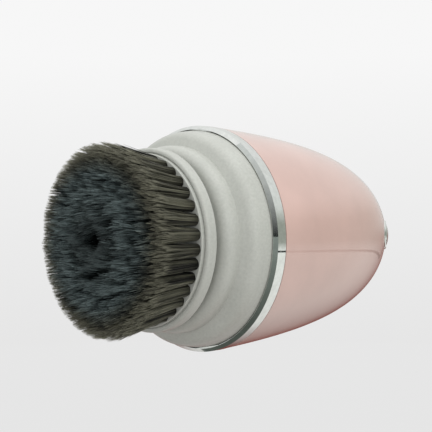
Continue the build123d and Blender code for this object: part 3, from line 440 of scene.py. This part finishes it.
def fibre_mesh(name, paths, rims, tones):
    """Three-sided tapering fibres along the given centre lines, closed at both ends."""
    count, rings, _ = paths.shape
    along = np.linspace(0, 1, rings)
    taper = np.clip((along - TAPER_START) / (1 - TAPER_START), 0, 1) ** 1.6
    thick = FIBRE_R + (TIP_R - FIBRE_R) * taper
    first_angle = random.uniform(0, 2 * math.pi, count)[:, None]
    angles = first_angle + np.arange(FIBRE_SIDES) * 2 * math.pi / FIBRE_SIDES
    around = np.stack([np.cos(angles), np.zeros_like(angles), np.sin(angles)], 2)
    points = paths[:, :, None, :] + thick[None, :, None, None] * around[:, None, :, :]

    each = rings * FIBRE_SIDES
    start = (np.arange(count) * each)[:, None, None]
    ring = start + (np.arange(rings - 1) * FIBRE_SIDES)[None, :, None]
    side = np.arange(FIBRE_SIDES)[None, None, :]
    after = (side + 1) % FIBRE_SIDES
    following = ring + FIBRE_SIDES
    quads = np.stack([ring + side, ring + after, following + after, following + side], -1)
    first = start[:, 0, 0]
    last = first + each - FIBRE_SIDES
    caps = np.concatenate([np.stack([first + 2, first + 1, first], 1), np.stack([last, last + 1, last + 2], 1)])
    mesh = array_mesh(name, points.reshape(-1, 3) * MM, quads.reshape(-1, 4), caps)
    vertex_attribute(mesh, "along", np.tile(np.repeat(along, FIBRE_SIDES), count))
    vertex_attribute(mesh, "rim", np.repeat(rims, each))
    vertex_attribute(mesh, "tone", np.repeat(tones, each))
    return mesh


tufts = []
for count, distance, flare, spread in TUFT_CIRCLES:
    for k in range(count):
        angle = 2 * math.pi * (k + 0.5) / count
        tufts.append(tuft_paths(distance * np.array([math.cos(angle), math.sin(angle)]), flare, spread))
share = math.ceil(len(tufts) / PIECES)
for piece in range(PIECES):
    group = tufts[piece * share:(piece + 1) * share]
    paths, rims, tones = (np.concatenate(column) for column in zip(*group))
    name = f"bristle_tufts_{piece + 1}"
    fibres = add_object(name, fibre_mesh(name, paths, rims, tones), materials["filament"])
    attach(fibres, "brush_head")
    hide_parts("bristles")

# ---------------------------------------------------------------- studio


FLOOR_Z = -0.17
FLOOR_R = 0.95
SWEEP_R = 0.45
WALL_TOP = 1.4
ROOM_R = 1.0
CARD_R = 0.70
AXIS_R = 0.0001  # a sheet's small hole on its own axis
SEGMENTS = 96


def lathe_sheet(name, profile, material):
    """An open sheet turned about Z from (radius, z) points."""
    angles = np.linspace(0, 2 * math.pi, SEGMENTS + 1)
    r, z = np.array(profile).T
    points = np.stack([r[:, None] * np.cos(angles), r[:, None] * np.sin(angles), z[:, None] + 0 * angles], -1)
    quads = grid_quads(len(r), SEGMENTS + 1)
    sheet = add_object(name, array_mesh(name, points.reshape(-1, 3), quads), material)
    return sheet


def only_camera(sheet):
    sheet.visible_diffuse = False
    sheet.visible_glossy = False
    sheet.visible_transmission = False
    sheet.visible_shadow = False


def only_lighting(sheet):
    sheet.visible_camera = False
    sheet.visible_shadow = False


def ramp(nodes, value, stops):
    """A colour ramp through (position, colour) stops."""
    made = nodes.node("ShaderNodeValToRGB")
    nodes.put(made, "Fac", value)
    elements = made.color_ramp.elements
    while len(elements) < len(stops):
        elements.new(1.0)
    for element, (place, colour) in zip(elements, stops):
        element.position = place
        element.color = (*colour, 1.0)
    return made.outputs["Color"]


def coordinates(nodes):
    """The X, Y and Z of the point being shaded, in metres."""
    where = nodes.node("ShaderNodeSeparateXYZ")
    nodes.link(nodes.position, where.inputs["Vector"])
    return [where.outputs[axis] for axis in "XYZ"]


def make_glow(nodes, colour):
    """Turns a material into one that only emits a colour."""
    nodes.put(nodes.shader, "Base Color", (0.0, 0.0, 0.0, 1))
    nodes.put(nodes.shader, "Specular IOR Level", 0.0)
    nodes.put(nodes.shader, "Emission Color", colour)
    nodes.put(nodes.shader, "Emission Strength", 1.0)
    nodes.material.cycles.emission_sampling = "NONE"


# the pale sweep behind the brush, a little darker at the foot of the picture
backdrop = Nodes("backdrop")
x, y, z = coordinates(backdrop)
far = backdrop.math("SQRT", backdrop.math("ADD", backdrop.math("MULTIPLY", x, x), backdrop.math("MULTIPLY", y, y)))
climb = backdrop.math("ADD", z, backdrop.math("MULTIPLY", backdrop.math("MINIMUM", far, FLOOR_R), 0.12))
for socket, value in (
    ("Base Color", (0.02, 0.02, 0.02, 1)),
    ("Roughness", 0.9),
    ("Specular IOR Level", 0.0),
    ("Emission Color", (1.0, 1.0, 1.0, 1)),
    ("Emission Strength", backdrop.spread(climb, 0.765, 0.915, -0.111, 0.40)),
):
    backdrop.put(backdrop.shader, socket, value)
turn = np.linspace(0, math.pi / 2, 14)
sweep = [(FLOOR_R + SWEEP_R * math.sin(a), FLOOR_Z + SWEEP_R * (1 - math.cos(a))) for a in turn]
profile = [(AXIS_R, FLOOR_Z), *sweep, (FLOOR_R + SWEEP_R, WALL_TOP)]
only_camera(lathe_sheet("floor", profile, backdrop.material))


def glow_stops(elevations):
    """Ramp stops up a round room from (elevation in degrees, colour)."""
    return [((math.sin(math.radians(angle)) + 1) / 2, colour) for angle, colour in elevations]


# the room that lights the brush: pale walls and ceiling over a table, darker to the right of the camera
room = Nodes("room")
x, y, z = coordinates(room)
level = room.math("MULTIPLY_ADD", z, 0.5, 0.5)
pale = ramp(room, level, glow_stops((
    (-90, (0.14, 0.06, 0.06)), (-68, (0.24, 0.14, 0.13)), (-50, (0.66, 0.65, 0.64)), (-10, (0.76, 0.76, 0.75)),
    (0, (0.70, 0.71, 0.70)), (30, (0.74, 0.75, 0.74)), (60, (0.90, 0.90, 0.90)), (90, (0.98, 0.98, 0.98)),
)))
dark = ramp(room, level, glow_stops((
    (-90, (0.14, 0.06, 0.06)), (-66, (0.24, 0.14, 0.13)), (-50, (0.80, 0.80, 0.78)), (-9, (0.86, 0.88, 0.85)),
    (-3, (0.34, 0.36, 0.32)), (10, (0.34, 0.36, 0.32)), (22, (0.74, 0.76, 0.74)), (90, (0.78, 0.78, 0.78)),
)))
rear = ramp(room, level, glow_stops((
    (-90, (0.12, 0.04, 0.03)), (-14, (0.20, 0.06, 0.05)), (-2, (0.32, 0.17, 0.15)), (3, (0.66, 0.66, 0.64)),
    (30, (0.80, 0.81, 0.80)), (90, (0.78, 0.78, 0.78)),
)))
to_right = room.math("MULTIPLY", room.math("ADD", x, y), math.sqrt(0.5))
to_rear = room.math("MULTIPLY", room.math("SUBTRACT", y, x), math.sqrt(0.5))
front = room.mix(room.spread(to_right, 0.0, 1.0, 0.25, 0.65), pale, dark)
make_glow(room, room.mix(room.spread(to_rear, 0.0, 1.0, 0.56, 0.92), front, rear))
turn = np.linspace(-math.pi / 2, math.pi / 2, 49)
profile = [(max(ROOM_R * math.cos(a), AXIS_R), ROOM_R * math.sin(a)) for a in turn]
only_lighting(lathe_sheet("room", profile, room.material))


def card(name, edge, grey, top_grey=None):
    """A strip bent round the set that only shows in reflections, from (azimuth, low, high) in degrees."""
    nodes = Nodes(name)
    azimuth, low, high = (np.radians(column) for column in np.array(edge, float).T)
    foot, head = (CARD_R * math.sin(angle) for angle in (low.min(), high.max()))
    _, _, z = coordinates(nodes)
    make_glow(nodes, nodes.mix(nodes.spread(z, 0.0, 1.0, foot, head), grey, top_grey or grey))
    turns = np.linspace(azimuth[0], azimuth[-1], 72)
    rows = []
    for share in np.linspace(0, 1, 9):
        tilt = np.interp(turns, azimuth, low + (high - low) * share)
        directions = [np.cos(tilt) * np.cos(turns), np.cos(tilt) * np.sin(turns), np.sin(tilt)]
        rows.append(CARD_R * np.stack(directions, 1))
    mesh = array_mesh(name, np.concatenate(rows), grid_quads(len(rows), len(turns)))
    strip = add_object(name, mesh, nodes.material)
    only_lighting(strip)
    strip.visible_diffuse = False


card("horizon_card", [(-5, -9.9, -8.6), (60, -9.7, -8.5), (92, -9.2, -8.0), (101, -9.6, -8.0), (106, -4.0, -2.4),
                      (116, 2.2, 3.6), (136, 3.6, 5.2)], (0.015, 0.015, 0.015))
card("camera_card", [(-100, 4, 80), (-60, 1, 80), (-38, 1, 78)], (0.010, 0.012, 0.011), (0.70, 0.72, 0.71))
card("table_card", [(-185, -86, -28), (-120, -86, -30), (-78, -86, 1.2), (-34, -86, 1.2)], (0.07, 0.08, 0.07),
     (0.24, 0.27, 0.25))

LIGHT_AIM = Vector((0, 0.015, 0))


def area_light(name, azimuth, elevation, distance, size, radiance):
    """A square soft box that shows in no reflection, its power set from how bright its face is."""
    data = bpy.data.lights.new(name, "AREA")
    data.shape = "RECTANGLE"
    data.size = data.size_y = size
    data.energy = radiance * math.pi * size * size
    light = bpy.data.objects.new(name, data)
    bpy.context.scene.collection.objects.link(light)
    azimuth, elevation = math.radians(azimuth), math.radians(elevation)
    across = math.cos(elevation)
    towards = Vector((across * math.cos(azimuth), across * math.sin(azimuth), math.sin(elevation)))
    light.location = LIGHT_AIM + distance * towards
    light.rotation_euler = (-towards).to_track_quat("-Z", "Y").to_euler()
    light.visible_glossy = False


area_light("top_light", -45, 84, 0.75, 0.8, 1.6)
area_light("front_light", -30, 18, 0.85, 0.7, 1.8)

world = bpy.data.worlds.new("studio")
world.use_nodes = True
background = world.node_tree.nodes["Background"]
background.inputs["Color"].default_value = (0.5, 0.5, 0.5, 1)
background.inputs["Strength"].default_value = 1.0
bpy.context.scene.world = world
bpy.context.scene.view_settings.view_transform = "Standard"

# ---------------------------------------------------------------- camera

YAW = math.radians(45.39)
TILT = math.radians(0.365)
LENS = 75.0
FROM_ORIGIN = (-3.873, 6.021, 241.743)  # where the origin lies from the camera, in mm: right, down, ahead

tilt = Matrix.Rotation(-TILT, 3, "X")
right = tilt @ Vector((math.cos(YAW), math.sin(YAW), 0))
up = tilt @ Vector((0, 0, 1))
back = right.cross(up)
camera_data = bpy.data.cameras.new("camera")
camera_data.lens = LENS
camera_data.sensor_width = 36.0
camera_data.clip_start = 0.01
camera = bpy.data.objects.new("camera", camera_data)
place = -(right * FROM_ORIGIN[0] - up * FROM_ORIGIN[1] - back * FROM_ORIGIN[2]) * MM
camera.matrix_world = Matrix.Translation(place) @ Matrix((right, up, back)).transposed().to_4x4()
bpy.context.scene.collection.objects.link(camera)
bpy.context.scene.camera = camera
